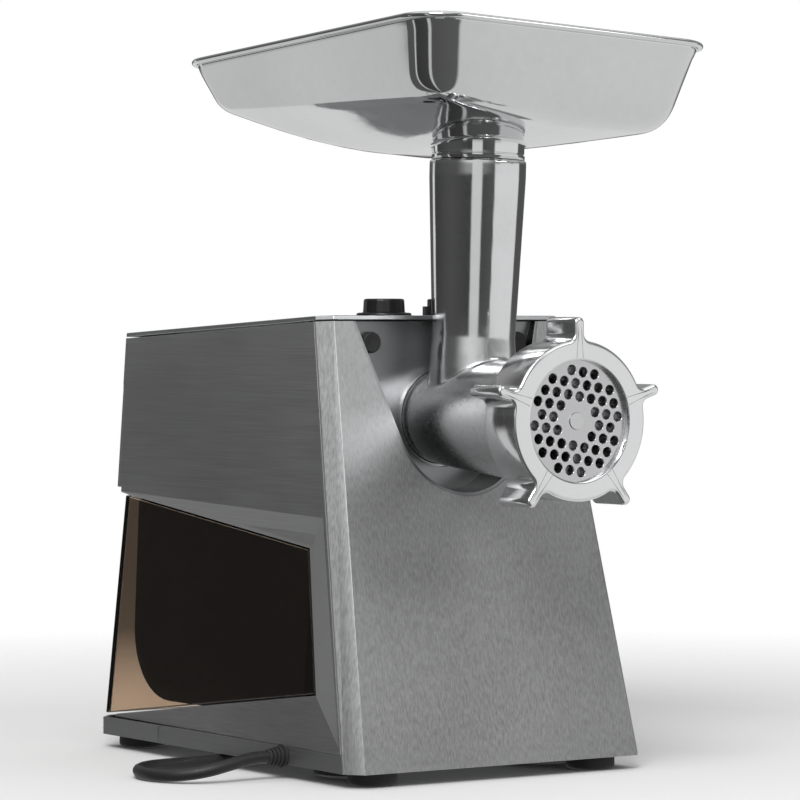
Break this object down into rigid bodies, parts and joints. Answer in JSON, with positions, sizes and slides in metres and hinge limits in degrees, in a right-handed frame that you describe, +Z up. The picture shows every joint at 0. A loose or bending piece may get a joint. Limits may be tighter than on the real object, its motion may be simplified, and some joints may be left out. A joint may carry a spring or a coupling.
{
  "type": "electric meat grinder",
  "caption": "Countertop electric meat grinder with a tapered steel casing, geared motor, removable cast head, screw ring and stamped feed tray.",
  "frame": {"origin": "on the floor, under the middle of the whole machine", "axes": "-Y towards the cutting plate at the front, +X to the right seen from the front, +Z up"},
  "size_m": [0.3352, 0.3745, 0.3729],
  "materials": {
    "front_steel": "brushed",
    "recess_steel": "satin",
    "side_steel": "brushed grey",
    "cover_steel": "brushed",
    "base_steel": "satin grey",
    "black_plastic": "moulded",
    "gloss_black": "gloss",
    "rubber": "matt",
    "screw_steel": "bright",
    "cast_aluminium": "satin cast",
    "bronze": "satin",
    "steel": "machined",
    "iron": "laminated",
    "copper": "wound",
    "nylon": "moulded",
    "board_green": "lacquered",
    "board_grey": "moulded",
    "smoked": "see-through smoked",
    "plate_steel": "satin",
    "ring_metal": "polished",
    "tray_steel": "polished",
    "cord_rubber": "satin"
  },
  "bodies": {
    "casing": {"front_panel": "front_steel", "head_recess": "recess_steel", "left_side_panel": "side_steel", "right_side_panel": "side_steel", "rear_panel": "side_steel", "top_cover": "cover_steel", "base_plate": "base_steel", "motor_cover": "gloss_black", "rubber_feet": "rubber", "front_pads": "rubber", "screw_caps": "rubber", "base_screws": "screw_steel", "rear_screws": "screw_steel", "head_socket": "steel", "gearbox_front": "cast_aluminium", "gearbox_rear": "cast_aluminium", "gearbox_screws": "screw_steel", "output_bushes": "bronze", "idler_bushes": "bronze", "rotor_bearings": "screw_steel", "motor_stator": "iron", "field_coils": "copper", "motor_bracket": "cast_aluminium", "motor_bolts": "screw_steel", "brush_holders": "black_plastic", "carbon_brushes": "board_grey", "rotary_switch": "black_plastic", "control_board": "board_green", "board_parts": "board_grey", "cord_gland": "rubber", "button_bezel": "black_plastic", "latch_spring": "steel", "power_cord": "cord_rubber", "cord_coil": "cord_rubber", "plug": "black_plastic", "plug_pins": "screw_steel"},
    "smoked_cover": {"smoked_cover": "smoked"},
    "head": {"grinder_head": "cast_aluminium", "auger_bush": "nylon", "cutting_plate": "plate_steel"},
    "ring": {"ring_nut": "ring_metal"},
    "auger": {"auger": "cast_aluminium", "knife": "steel"},
    "tray": {"hopper_tray": "tray_steel"},
    "output": {"output_gear": "steel"},
    "idler": {"idler_gear": "nylon", "idler_shaft": "steel"},
    "rotor": {"rotor_shaft": "steel", "armature": "iron", "commutator": "copper", "fan": "black_plastic", "motor_pinion": "steel"},
    "knob": {"control_knob": "black_plastic"},
    "release": {"release_button": "black_plastic", "latch_plate": "steel"}
  },
  "joints": [
    {"name": "rotor_turn", "type": "hinge", "parent": "casing", "child": "rotor", "pos_m": [0, 0.072, 0.094], "axis": [0, 1, 0], "continuous": true},
    {"name": "idler_turn", "type": "hinge", "parent": "casing", "child": "idler", "pos_m": [0, 0.012, 0.133], "axis": [0, 1, 0], "continuous": true},
    {"name": "output_turn", "type": "hinge", "parent": "casing", "child": "output", "pos_m": [0, 0.007, 0.178], "axis": [0, 1, 0], "continuous": true},
    {"name": "head_slide", "type": "slide", "parent": "casing", "child": "head", "axis": [0, -1, 0], "range_m": [0, 0.13]},
    {"name": "auger_turn", "type": "hinge", "parent": "head", "child": "auger", "pos_m": [0, -0.088, 0.178], "axis": [0, 1, 0], "continuous": true},
    {"name": "ring_turn", "type": "hinge", "parent": "head", "child": "ring", "pos_m": [0, -0.144, 0.178], "axis": [0, 1, 0], "continuous": true},
    {"name": "tray_lift", "type": "slide", "parent": "head", "child": "tray", "axis": [0.0305, 0, 0.9995], "range_m": [0, 0.08]},
    {"name": "cover_slide", "type": "slide", "parent": "casing", "child": "smoked_cover", "axis": [0, 1, 0], "range_m": [0, 0.2]},
    {"name": "knob_turn", "type": "hinge", "parent": "casing", "child": "knob", "pos_m": [-0.0194, -0.016, 0.228], "axis": [0, 0, 1], "range_deg": [-45, 45]},
    {"name": "release_press", "type": "slide", "parent": "casing", "child": "release", "axis": [0, 0, -1], "range_m": [0, 0.004], "stiffness_N_per_m": 500, "springref_m": -0.003, "deforming": ["latch_spring"]}
  ],
  "couplings": [
    {"joint": "output_turn", "follows": "rotor_turn", "ratio": 0.045455},
    {"joint": "idler_turn", "follows": "rotor_turn", "ratio": -0.18182},
    {"joint": "auger_turn", "follows": "rotor_turn", "ratio": 0.045455}
  ]
}
